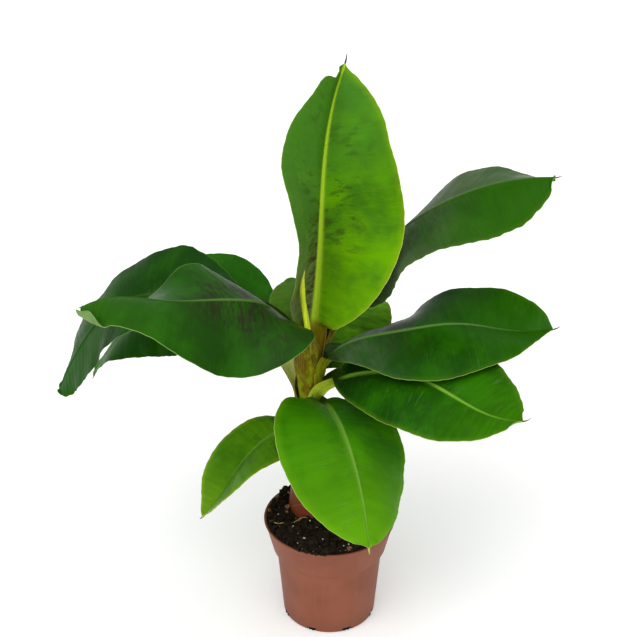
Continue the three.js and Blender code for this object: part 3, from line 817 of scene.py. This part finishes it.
def leafRings(leaf, seed):
    shape = leafShape
    phases = np.random.default_rng(seed).uniform(0, 2 * math.pi, 8)
    points, travelled, inSheath = leafStations(leaf)
    total = leaf["stalk"] + leaf["blade"]
    t = travelled / total
    u = (travelled - leaf["stalk"]) / leaf["blade"]
    inBlade = np.clip(u, 0, 1)
    past = np.clip((travelled - total) / max(leaf["thread"], 1), 0, 1)
    forward, left, up = ribFrames(leaf, points, t, inSheath)

    # half width, fold and curl: a wrapped sheath, then a channelled stalk, then the blade
    least = between(leaf["stalkHalf"], shape["threadHalf"], inBlade ** 0.8)
    half = np.maximum(least, np.where(u > 0, leaf["width"] / 2 * outline(leaf, u), 0))
    half = half * (1 - 0.7 * past)
    opened = np.clip((half - least) / shape["openingWidth"], 0, 1) * (u > 0)
    sheathOpened = smooth(leaf["exit"][1] - points[:, 2], 14, shape["sheathOpens"] + 14)
    wrap = between(shape["sheathLeast"], shape["sheathWrap"], sheathOpened)
    s = smooth(inSheath, 0, 1)
    half = half * (1 - s) + sheathRadius(leaf["age"], points[:, 2]) * wrap * s
    stalkCurl = math.radians(shape["stalkCurl"]) * (1 - s) + wrap * s
    lean = column(np.radians(along(leaf["sweep"], inBlade)) * opened)
    depth = between(*shape["ribDepth"], inBlade ** 0.7) * (1 - 0.75 * s) * (1 - 0.5 * past)
    thick = between(shape["bladeThick"], shape["sheathThick"], s)
    narrow = np.minimum(between(*leaf["ribHalf"], inBlade ** 0.8), half / 2.2)

    onRib = column(travelled)
    sides = {}
    for side, sign in (("L", 1), ("R", -1)):
        start, stop, extra, over = leaf["rolled"].get(side, (0, 1, 0, 0))
        rolled = smooth(inBlade, start, stop) * (1 - smooth(inBlade, 0.95, 1)) * (u > 0)
        dips = leaf["nicks"].get(side, [])
        pinched = sum(deep * np.exp(-((u - where) / length) ** 2) for where, length, deep in dips)
        uneven = np.sin(travelled / 2.7 + phases[4] * sign) * np.sin(travelled / 6.1 + phases[5] * sign)
        wide = half * (1 - pinched) + extra * rolled
        wide = wide + leaf["ragged"] * uneven * opened
        distance = crossColumns(wide, narrow)
        toRib = distance / column(narrow)
        v = distance / column(half)

        # thickness, with the rib, its groove and the lips beside it
        ribness = np.clip(distance / (1.6 * column(narrow)), 0, 1)
        thickness = column(thick) + column((depth - thick).clip(0)) * (1 - ribness**2)
        thickness = np.minimum(thickness, 1.7 * column(half))
        thickness = thickness * np.where(distance > 0.999 * column(wide), 0.5, 1.0)
        lip = shape["lip"] * np.exp(-((toRib - 1) / 0.3) ** 2)
        groove = shape["groove"] * np.clip(1 - toRib ** 2, 0, 1)
        raised = (lip - groove) * column((1 - s) * (1 - past) * np.clip(half / 4, 0, 1))

        # ripples along the side veins, waves of the margin, fold, curl and the margin rolled over
        shift = phases[0] if sign > 0 else phases[1]
        fold = np.radians(along(leaf["fold" + side], inBlade)) * opened
        curl = stalkCurl * (1 - opened) + np.radians(along(leaf["curl" + side], inBlade)) * opened
        fade = smooth(v, 0.03, 0.3) * column(opened)
        pitch = 2 * math.pi / shape["corrugationPitch"]
        veinPhase = pitch * onRib + 1.6 * np.sin(onRib / 11 + shift) + 2 * v
        ripple = shape["corrugation"] * fade * np.sin(veinPhase)
        wave = leaf["waves"] * column(opened) * np.minimum(v, 1) ** 2 * (
            0.6 * np.sin(onRib / 8.5 + shift) + 0.5 * np.sin(onRib / 5.1 + phases[2] + shift)
            + 0.9 * np.sin(onRib / 17 + phases[3] * sign))
        rollFrom = half - 0.25 * extra * rolled
        beyond = np.clip((distance - column(rollFrom)) / column(np.maximum(wide - rollFrom, 1e-3)), 0, 1)
        turn = column(fold) + column(curl) * np.minimum(v, 1)
        turn = turn + math.radians(over) * column(rolled) * smooth(beyond, 0, 0.7)

        # the cross section laid out from the rib, column by column
        steps = np.diff(distance, axis=1)
        middle = (turn[:, 1:] + turn[:, :-1]) / 2
        sideways, upwards = [np.hstack([column(0 * half), np.cumsum(steps * part, axis=1)])
                             for part in (np.cos(middle), np.sin(middle))]
        left3, up3 = left[:, None, :], up[:, None, :]
        at = (points[:, None, :]
              + left3 * (sign * np.cos(lean) * sideways)[..., None]
              + up3 * (np.cos(lean) * upwards)[..., None]
              + forward[:, None, :] * (np.sin(lean) * distance)[..., None])
        normal = left3 * (-sign * np.sin(turn))[..., None] + up3 * np.cos(turn)[..., None]
        sides[side] = {
            "top": at + normal * (ripple + wave + raised)[..., None],
            "bottom": at + normal * (ripple + wave - thickness)[..., None],
            "acrossRib": sign * distance,
            "toMargin": column(wide) - distance,
            "ribMask": 1 - smooth(toRib, 0.7, 1.35),
            "grooveMask": 1 - smooth(toRib, 0.1, 0.6),
        }
    for skin in ("top", "bottom"):
        # the rib's own column is shared by both sides
        for side in "LR":
            sides[side][skin][:, 0] = (sides["L"][skin][:, 0] + sides["R"][skin][:, 0]) / 2

    both = {label: ringOf(sides["L"][label], sides["R"][label]) for label in sides["L"]}
    rings = np.concatenate([both.pop("top"), both.pop("bottom")[:, ::-1]], axis=1)
    full = np.ones_like(both["toMargin"])
    both.update({
        "alongRib": full * column(travelled - leaf["stalk"]),
        "shareAlong": full * column(u),
        "stalkMask": full * column(1 - smooth(travelled - leaf["stalk"], -2, 14)),
        "sheathMask": full * column(s),
        "aboveSoil": full * column(points[:, 2] - soilTop),
    })
    masks = {label: np.concatenate([ring, ring[:, ::-1]], axis=1) for label, ring in both.items()}
    masks["under"] = np.concatenate([0 * full, full], axis=1)
    return rings, masks


def ringMesh(name, rings, masks, material):
    # a closed skin over rings whose second half runs back under the first
    count, size = rings.shape[:2]
    index = np.arange(count * size).reshape(count, size)
    following = np.roll(index, -1, axis=1)
    quads = np.stack([index[:-1], following[:-1], following[1:], index[1:]], -1).reshape(-1, 4)
    j = np.arange(size // 2 - 1)
    cap = np.stack([j, j + 1, size - 2 - j, size - 1 - j], -1)
    faces = np.vstack([quads, cap[:, ::-1], cap + (count - 1) * size])
    mesh = bpy.data.meshes.new(name)
    mesh.from_pydata((rings.reshape(-1, 3) * mm).tolist(), [], faces.tolist())
    mesh.polygons.foreach_set("use_smooth", np.ones(len(faces), bool))
    for label, values in masks.items():
        attribute = mesh.attributes.new(label, "FLOAT", "POINT")
        attribute.data.foreach_set("value", np.asarray(values, np.float32).reshape(-1))
    mesh.update()
    return addObject(name, mesh, material)


for leaf in leaves.values():
    leaf.update({**usualLeaf, **leaf})
    leaf["exit"] = findExit(leaf)

for i, (name, leaf) in enumerate(leaves.items()):
    look = {**looks[leaf["look"]], **leaf["paint"]}
    skin = leafMaterial(name + "Skin", look, leafShape["finishSeed"] * i)
    piece = ringMesh(name, *leafRings(leaf, leafShape["firstSeed"] + i), skin)
    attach(piece, "root")
    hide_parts(*leaf["nodes"])

print("rolled leaf")

spear = {
    "foot": (-18.5, 11, 280),
    "tip": (-21.5, 0, 354),
    "radius": 2.8,
    "upperRadius": 2.2,
    "taperFrom": 0.72,
    "taper": 0.8,
    "roundTip": 0.03,  # the share of its length over which its end rounds off
    "bow": 3.1,  # it bows this far to the left
    "step": 0.7,  # height of the seam where the roll overlaps itself
    "turns": 0.35,  # how far the seam winds round
    "seamFrom": -1.9,
    "rings": 48,
    "sides": 40,
}

spearFinish = {
    "skin": (218, 228, 50),
    "fibre": (184, 210, 32),
    "end": (206, 212, 80),
    "seam": (96, 130, 16),
    "roughness": (0.4, 0.52),
    "relief": 0.0002,
    "specular": 0.25,
}


def circle(x, y, z, radius, angle):
    # points at these angles round a centre; each value may change from ring to ring
    return np.stack([x + radius * np.cos(angle), y + radius * np.sin(angle), z + 0 * radius * angle], -1)


def makeSpear():
    lower, upper = np.array(spear["foot"]), np.array(spear["tip"])
    t = np.linspace(0, 1, spear["rings"])
    centre = lower + (upper - lower) * column(t)
    centre[:, 0] -= spear["bow"] * np.sin(math.pi * t**2)
    radius = between(spear["radius"], spear["upperRadius"], t)
    radius *= 1 - spear["taper"] * smooth(t, spear["taperFrom"], 1)
    radius *= np.sqrt(np.clip((1 - t) / spear["roundTip"], 0.05, 1))
    share = np.linspace(0, 1, spear["sides"])
    angle = 2 * math.pi * share[None, :] + 2 * math.pi * spear["turns"] * column(t) + spear["seamFrom"]
    r = column(radius) + spear["step"] * (share[None, :] - 0.5) * column(radius / spear["radius"])
    rings = circle(*[centre[:, k:k + 1] for k in range(3)], r, angle)
    full = np.ones_like(r)
    masks = {"alongRib": full * column(t * 99), "acrossRib": full * share * 20, "seam": full * (1 - share)}
    return ringMesh("spear", rings, masks, spearMaterial())


def spearMaterial():
    finish = finishOf(spearFinish)
    material, tree = newMaterial("spearSkin")
    alongRib, across, seam = kept(tree, "alongRib", "acrossRib", "seam")
    fibres = drawnOut(tree, across, 1.5, alongRib, 0.06)
    colour = layered(tree, finish.skin, [
        (span(tree, fibres, 0.3, 0.7), finish.fibre),
        (span(tree, alongRib, 60, 99, 0.0, 0.6), finish.end),
        (span(tree, seam, 0.9, 1.0, 0.0, 0.6), finish.seam),
    ])
    roughness = span(tree, fibres, 0.3, 0.7, *finish.roughness)
    finishShader(tree, colour, roughness, fibres, finish.relief, finish.specular)
    return material


piece = makeSpear()
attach(piece, "root")
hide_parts("leaf_rolled")

print("stem")

stemValues = {
    "coreShort": 6,  # the core ends this far under the stem's top
    "coreNarrowing": 2.2,  # towards its top, in sheaths
    "ridge": 0.01,
    "oldSheaths": [  # heading, height of its top above the soil, wrap at the top in radians
        (-60, 62, 0.5),
        (150, 48, 0.35),
        (20, 34, 0.6),
    ],
    "oldFootWrap": 2.9,
    "oldLayer": 0.95,  # from one old sheath to the next
    "oldThick": 0.75,
    "oldFlare": 1.8,
    "oldRagged": 1.2,
    "freckleShare": 0.85,
    "roughness": (0.42, 0.6),
    "relief": 0.0006,
    "specular": 0.12,
}


def stemRings():
    top = stemTop - stemValues["coreShort"]
    z = np.linspace(stemFoot, top, 90)
    narrowing = leafShape["sheathPitch"] * stemValues["coreNarrowing"] * smooth(stemTop - z, 0, 90)
    inner = stemRadius(z) - leafShape["underSkin"] - narrowing
    inner = np.minimum(inner, sheathRadius(10, z) - 0.4)
    inner = np.maximum(inner, 3.5) * np.sqrt(np.clip((top - z) / 10, 0.02, 1))
    angle = np.linspace(0, 2 * math.pi, 65)[:-1]
    r = column(inner) * (1 + stemValues["ridge"] * np.sin(11 * angle)[None, :])
    full = np.ones_like(r)
    masks = {
        "alongRib": full * column(z), "acrossRib": full * (angle * 14)[None, :],
        "toMargin": full * 20, "aboveSoil": full * column(z - soilTop),
    }
    return circle(stemX, stemY, column(z), r, angle), masks


def sheathRings(heading, height, wrapTop, layer):
    # a short dry sheath left at the foot of the stem
    p = stemValues
    z = np.linspace(soilTop - leafShape["sheathBelowSoil"], soilTop + height, 26)
    t = np.linspace(0, 1, 26)
    radius = stemRadius(z) + 0.25 + p["oldLayer"] * layer + p["oldFlare"] * smooth(t, 0.75, 1.0)
    wrap = between(p["oldFootWrap"], wrapTop, smooth(t, 0.35, 1.0))
    share = np.linspace(-1, 1, 49)
    angle = math.radians(heading) + column(wrap) * share[None, :]
    level = column(z) + p["oldRagged"] * np.sin(9 * share + heading) * column(t) ** 6
    outer = column(radius) + p["oldThick"] * np.sqrt(np.clip(1.02 - share[None, :] ** 2, 0, 1))
    inside, outside = [circle(stemX, stemY, level, r, angle) for r in (column(radius), outer)]
    full = np.ones_like(angle)
    toSide = column(wrap * radius) * (1 - np.abs(share))[None, :]
    masks = {
        "alongRib": full * column(z), "acrossRib": column(wrap * radius) * share[None, :],
        "toMargin": np.minimum(toSide, column(height * (1 - t))),
        "aboveSoil": full * column(z - soilTop),
    }
    masks = {label: np.concatenate([values, values[:, ::-1]], axis=1) for label, values in masks.items()}
    return np.concatenate([outside, inside[:, ::-1]], axis=1), masks


def stemMaterial(name, seed):
    material, tree = newMaterial(name)
    alongRib, across = kept(tree, "alongRib", "acrossRib")
    fibres = drawnOut(tree, across, 1.6, alongRib, 0.03, seed)
    freckles = times(tree, patches(tree, "stemFreckle", alongRib, across, seed), stemValues["freckleShare"])
    colour = sheathColour(tree, finishOf(leafFinish), stemSheath, fibres, freckles)
    roughness = span(tree, fibres, 0.3, 0.7, *stemValues["roughness"])
    finishShader(tree, colour, roughness, fibres, stemValues["relief"], stemValues["specular"])
    return material


stemSkin = stemMaterial("stemSkin", 2.0)
stemCore = ringMesh("stemCore", *stemRings(), stemSkin)
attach(stemCore, "root")
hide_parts("stem")
for i, (heading, height, wrapTop) in enumerate(stemValues["oldSheaths"]):
    piece = ringMesh(f"oldSheath{i + 1}", *sheathRings(heading, height, wrapTop, i), stemSkin)
    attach(piece, "root")

print("pot")

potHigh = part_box("pot")[1]
potValues = {
    "rimRadius": potHigh.x / mm,
    "height": potHigh.z / mm,
    "footRadius": 42.6,
    "footEdge": 1.2,
    "stepHeight": 71,
    "step": 1.2,
    "bodyRadius": 48.6,
    "bandRadius": 52,
    "rimLip": 0.8,
    "wall": 1.3,
    "floor": 2.2,
    "cornerRadius": 0.7,
    "segments": 176,
    "notches": 8,
    "notchWidth": 9,
    "notchHeight": 4,
    "notchDepth": 5.5,
    "smoothUnder": 35,  # edges sharper than this many degrees stay sharp
}

potFinish = {
    "plastic": (126, 73, 54),
    "cloudy": (135, 80, 60),
    "scuff": (158, 106, 84),
    "scuffShare": 0.22,
    "dust": (92, 62, 48),
    "dustHeight": 0.02,  # metres
    "dustShare": 0.4,
    "roughness": (0.5, 0.66),
    "relief": 0.00008,
    "specular": 0.1,
}


def meshObject(name, made, material=None):
    # an object from the faces made so far
    mesh = bpy.data.meshes.new(name)
    made.to_mesh(mesh)
    made.free()
    return addObject(name, mesh, material)


def roundedProfile(points, radius):
    # replaces each inner corner by a short arc of three points
    result = [points[0]]
    for before, corner, after in zip(points, points[1:], points[2:]):
        b, c, a = np.array(before), np.array(corner), np.array(after)
        reach = min(radius, np.linalg.norm(c - b) * 0.4, np.linalg.norm(a - c) * 0.4)
        start = c + (b - c) / np.linalg.norm(b - c) * reach
        end = c + (a - c) / np.linalg.norm(a - c) * reach
        for t in (0, 0.5, 1):
            result.append(tuple((1 - t) ** 2 * start + 2 * t * (1 - t) * c + t * t * end))
    result.append(points[-1])
    return result


def revolve(name, profile, segments, material):
    # a closed solid: the profile starts and ends on the axis
    made = bmesh.new()
    loops = []
    for r, z in profile:
        turns = [2 * math.pi * k / segments for k in range(segments if r > 1e-6 else 1)]
        loops.append([made.verts.new((r * mm * math.cos(a), r * mm * math.sin(a), z * mm)) for a in turns])
    for a, b in zip(loops, loops[1:]):
        for k in range(segments):
            n = (k + 1) % segments
            if len(a) == 1:
                made.faces.new((a[0], b[k], b[n]))
            elif len(b) == 1:
                made.faces.new((a[k], b[0], a[n]))
            else:
                made.faces.new((a[k], b[k], b[n], a[n]))
    bmesh.ops.recalc_face_normals(made, faces=made.faces)
    return meshObject(name, made, material)


def bandOuter(z):
    p = potValues
    start = p["stepHeight"] + p["step"]
    share = (z - start) / (p["height"] - p["rimLip"] - start)
    return between(p["bandRadius"], p["rimRadius"] - p["rimLip"], share)


def potMaterial():
    finish = finishOf(potFinish)
    material, tree = newMaterial("terracottaPlastic")
    cloudy = grainy(tree, 28.0, 5.0, 0.35, 0.65)["Mask"]
    coordinates = addNode(tree, "ShaderNodeTexCoord").outputs["Object"]
    x, y, z = addNode(tree, "ShaderNodeSeparateXYZ", {"Vector": coordinates}).outputs
    scuffs = drawnOut(tree, maths(tree, "ARCTAN2", y, x), 18.0, z, 14.0, detail=6, roughness=0.65)
    scuffs = span(tree, scuffs, 0.52, 0.75)
    dusty = times(tree, span(tree, z, finish.dustHeight, 0.0), times(tree, cloudy, finish.dustShare))
    colour = layered(tree, finish.plastic, [
        (cloudy, finish.cloudy),
        (times(tree, scuffs, finish.scuffShare), finish.scuff),
        (dusty, finish.dust),
    ])
    height = plus(tree, grainy(tree, 900.0, 3.0)["Height"], times(tree, scuffs, 0.6))
    roughness = span(tree, scuffs, 0.0, 1.0, *finish.roughness)
    finishShader(tree, colour, roughness, height, finish.relief, finish.specular)
    return material


def smoothByAngle(piece, degrees):
    mesh = piece.data
    mesh.polygons.foreach_set("use_smooth", np.ones(len(mesh.polygons), bool))
    mesh.set_sharp_from_angle(angle=math.radians(degrees))


def makePot():
    p = potValues
    insideStep = p["stepHeight"] + p["step"] + p["wall"]
    underLip = p["height"] - 2 * p["rimLip"]
    profile = [
        (0, 0), (p["footRadius"] - p["footEdge"], 0), (p["footRadius"], p["footEdge"]),
        (p["bodyRadius"], p["stepHeight"]), (p["bandRadius"], p["stepHeight"] + p["step"]),
        (bandOuter(underLip), underLip), (p["rimRadius"], p["height"] - p["rimLip"]),
        (p["rimRadius"], p["height"]), (bandOuter(p["height"]) - p["wall"], p["height"]),
        (bandOuter(insideStep) - p["wall"], insideStep), (p["bodyRadius"] - p["wall"], p["stepHeight"]),
        (p["footRadius"] - p["wall"], p["floor"]), (0, p["floor"]),
    ]
    piece = revolve("potShell", roundedProfile(profile, p["cornerRadius"]), p["segments"], potMaterial())
    cutter = bmesh.new()
    shift = Matrix.Translation((p["footRadius"] * mm, 0, 0))
    size = Matrix.Diagonal((2 * p["notchDepth"] * mm, p["notchWidth"] * mm, 2 * p["notchHeight"] * mm, 1))
    for k in range(p["notches"]):
        turn = Matrix.Rotation(2 * math.pi * (k + 0.5) / p["notches"], 4, "Z")
        bmesh.ops.create_cube(cutter, size=1, matrix=turn @ shift @ size)
    tool = meshObject("notchCutter", cutter)
    cut = piece.modifiers.new("notches", "BOOLEAN")
    cut.operation = "DIFFERENCE"
    cut.solver = "EXACT"
    cut.object = tool
    depsgraph = bpy.context.evaluated_depsgraph_get()
    mesh = bpy.data.meshes.new_from_object(piece.evaluated_get(depsgraph))
    piece.modifiers.clear()
    piece.data = mesh
    bpy.data.objects.remove(tool)
    smoothByAngle(piece, p["smoothUnder"])
    return piece


piece = makePot()
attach(piece, "root")
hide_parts("pot")

print("soil")

soilValues = {
    "top": 100.2,
    "rise": 1.5,
    "heap": 5.5,
    "heapPlace": (-37, 33),
    "play": 0.4,  # from the pot's wall
    "rimFrom": 0.96,  # the crumbs against the wall lie past this share of the soil's radius
    "lipHeadings": (-124, -94),  # where soil was spilled on the pot's edge
    "stemClear": 3.4,
    "smoothUnder": 60,
    "seed": 11,
    "straw": [(-54, -11), (-44, -13), (-32, -10), (-20, -9)],
    "strawRadius": 0.55,
    "strawLift": 2.7,
}

soilFinish = {
    "peat": (7, 5, 4),
    "crumb": (40, 31, 22),
    "fibre": (84, 64, 44),
    "fibreShare": 0.5,
    "relief": 0.0014,
    "specular": 0.15,
}

bitFinishes = {  # dark, light, scale of the grain, least roughness
    "perlite": ((204, 198, 186), (240, 238, 230), 1400.0, 0.8),
    "bark": ((70, 44, 26), (160, 118, 76), 700.0, 0.75),
    "straw": ((150, 118, 70), (196, 168, 116), 500.0, 0.6),
}


def soilHeight(x, y):
    # the level of the soil's surface: lumpy, heaped a little, and higher at the back left
    p = soilValues
    r = np.hypot(x, y)
    edge = bandOuter(p["top"]) - potValues["wall"]
    level = p["top"] + p["rise"] * (1 - (r / edge) ** 4)
    lumps = 2.0 * np.sin(x / 6.1 + 1.3) * np.sin(y / 5.3) + 1.0 * np.sin(x / 2.9 + y / 3.7)
    lumps = lumps + 0.5 * np.sin(y / 2.1 - x / 4.4)
    heap = p["heap"] * np.exp(-((x - p["heapPlace"][0]) ** 2 + (y - p["heapPlace"][1]) ** 2) / 200)
    return level + lumps * smooth(edge - r, 0, 5) + heap * smooth(edge - r, -3, 3)


def soilMaterial():
    finish = finishOf(soilFinish)
    material, tree = newMaterial("peat")
    coarse = grainy(tree, 260.0, 6.0, 0.35, 0.7)
    fine = grainy(tree, 1500.0, 4.0, 0.4, 0.75)
    colour = layered(tree, finish.peat, [
        (coarse["Mask"], finish.crumb),
        (times(tree, fine["Mask"], finish.fibreShare), finish.fibre),
    ])
    roughness = span(tree, fine["Height"], 0.3, 0.7, 0.8, 1.0)
    height = plus(tree, coarse["Height"], fine["Height"])
    finishShader(tree, colour, roughness, height, finish.relief, finish.specular)
    return material


def bitMaterial(name):
    dark, light, scale, least = bitFinishes[name]
    material, tree = newMaterial(name)
    grain = grainy(tree, scale, 5.0, 0.35, 0.65)
    colour = blend(tree, grain["Mask"], linear(*dark), linear(*light))
    roughness = span(tree, grain["Height"], 0.3, 0.7, least, 0.95)
    finishShader(tree, colour, roughness, grain["Height"], 0.0004)
    return material


def makeSoil():
    p = potValues
    top = soilValues["top"]
    clear = p["wall"] + soilValues["play"]
    insideStep = p["stepHeight"] + p["step"] + p["wall"]
    edge = bandOuter(top) - clear
    profile = [
        (0, p["floor"] + 0.3), (p["footRadius"] - clear, p["floor"] + 0.3),
        (p["bodyRadius"] - clear, p["stepHeight"]), (bandOuter(insideStep) - clear, insideStep + 0.4),
    ] + [(edge * (1 - k / 44), top) for k in range(45)]
    piece = revolve("soilBed", profile, 150, soilMaterial())
    for vertex in piece.data.vertices:
        if vertex.co.z > (top - 0.01) * mm:
            vertex.co.z = soilHeight(vertex.co.x / mm, vertex.co.y / mm) * mm
    smoothByAngle(piece, soilValues["smoothUnder"])
    return piece


def scatter(name, places, sizes, flatness, lift, material):
    # small rough bits at these places, joined into one mesh
    made = bmesh.new()
    for x, y, z in places:
        size = between(*sizes, rng.random() ** 2)
        turn = Euler(rng.uniform(-0.5, 0.5, 2).tolist() + [rng.uniform(0, 6.3)]).to_matrix().to_4x4()
        width, height = size * rng.uniform(0.5, 1.0), size * flatness * rng.uniform(0.6, 1.1)
        shape = Matrix.Diagonal((size, width, height, 1))
        centre = Vector((x, y, z + lift * size))
        result = bmesh.ops.create_icosphere(made, subdivisions=1, radius=0.55)
        for vertex in result["verts"]:
            vertex.co *= float(rng.uniform(0.75, 1.2))
            vertex.co = (turn @ shape @ vertex.co + centre) * mm
    return meshObject(name, made, material)


def onSoil(count, inner=0.0):
    # places on the soil, clear of the stem, past this share of its radius
    edge = bandOuter(soilValues["top"]) - potValues["wall"] - 1.2
    places = []
    while len(places) < count:
        x, y = rng.uniform(-edge, edge, 2)
        share = math.hypot(x, y) / edge
        toStem = math.hypot(x - stemX, y - stemY) - stemRadii[0]
        if inner <= share <= 1.0 and toStem > soilValues["stemClear"]:
            places.append((x, y, float(soilHeight(x, y))))
    return places


def atWall(count):
    return onSoil(count, soilValues["rimFrom"])


def onLip(count):
    # places on the pot's edge, where soil was spilled
    places = []
    for _ in range(count):
        a = math.radians(rng.uniform(*soilValues["lipHeadings"]))
        r = potValues["rimRadius"] - rng.uniform(0.4, 3.0)
        places.append((r * math.cos(a), r * math.sin(a), potValues["height"] - 0.3))
    return places


def inNotches(count):
    # places under the pot's foot, in its drainage notches
    p = potValues
    places = []
    for k in range(count):
        a = 2 * math.pi * ((k % p["notches"] + 0.5) / p["notches"]) + rng.uniform(-0.085, 0.085)
        r = p["footRadius"] - rng.uniform(0.5, 3.4)
        places.append((r * math.cos(a), r * math.sin(a), rng.uniform(0.7, 2.0)))
    return places


def makeStraw():
    t = np.linspace(0, 1, 30)
    flat = np.stack([along(values, t) for values in zip(*soilValues["straw"])], -1)
    z = np.array([float(soilHeight(x, y)) for x, y in flat]) + soilValues["strawLift"] + 0.3 * np.sin(9 * t)
    centre = np.column_stack([flat, z])
    forward = unit(np.gradient(centre, axis=0))
    side = unit(np.cross(forward, np.array([0, 0, 1.0])))
    over = np.cross(side, forward)
    angle = np.linspace(0, 2 * math.pi, 13)[:-1]
    r = soilValues["strawRadius"] * (1 - 0.4 * t)[:, None, None]
    rings = (centre[:, None, :] + r * np.cos(angle)[None, :, None] * side[:, None, :]
             + 0.7 * r * np.sin(angle)[None, :, None] * over[:, None, :])
    return ringMesh("strawStalk", rings, {}, bitMaterial("straw"))


soilBits = {  # how many, where, smallest and largest, flatness, how far they stand out, finish
    "soilCrumbs": (2100, onSoil, (0.8, 6.6), 0.75, 0.2, "peat"),
    "rimCrumbs": (260, atWall, (1.0, 3.6), 0.7, 0.35, "peat"),
    "perliteBits": (150, onSoil, (0.6, 2.3), 0.85, 0.45, "perlite"),
    "barkChips": (60, onSoil, (1.8, 6.0), 0.35, 0.4, "bark"),
    # dark crumbs filling the drainage notches: partly dirt, partly a painted shade that keeps the notches dark
    "notchDirtAndShade": (190, inNotches, (1.5, 3.4), 0.8, 0.0, "peat"),
    "lipCrumbs": (64, onLip, (1.0, 4.0), 0.7, 0.25, "peat"),
}

soilBed = makeSoil()
pieces = [soilBed, makeStraw()]
skins = {"peat": soilBed.data.materials[0], "perlite": bitMaterial("perlite"), "bark": bitMaterial("bark")}
rng = np.random.default_rng(soilValues["seed"])
for name, (count, where, sizes, flatness, lift, finish) in soilBits.items():
    pieces.append(scatter(name, where(count), sizes, flatness, lift, skins[finish]))
for piece in pieces:
    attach(piece, "root")
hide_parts("soil")

print("floor")


def makeFloor():
    half = studio["floorSize"] / 2
    mesh = bpy.data.meshes.new("floor")
    corners = [(-half, -half, 0), (half, -half, 0), (half, half, 0), (-half, half, 0)]
    mesh.from_pydata(corners, [], [(0, 1, 2, 3)])
    material, tree = newMaterial("paleFloor")
    shader = tree.nodes["Principled BSDF"].inputs
    shade = studio["floorShade"]
    shader["Base Color"].default_value = (shade, shade, shade, 1)
    shader["Roughness"].default_value = 0.9
    shader["Emission Color"].default_value = (1, 1, 1, 1)
    shader["Emission Strength"].default_value = studio["floorGlow"]
    addObject("floor", mesh, material)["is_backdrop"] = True


makeFloor()

sizes = {"cad": [list(corner) for corner in cadBounds], "visual": [list(corner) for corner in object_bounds()]}
print("done", sizes)
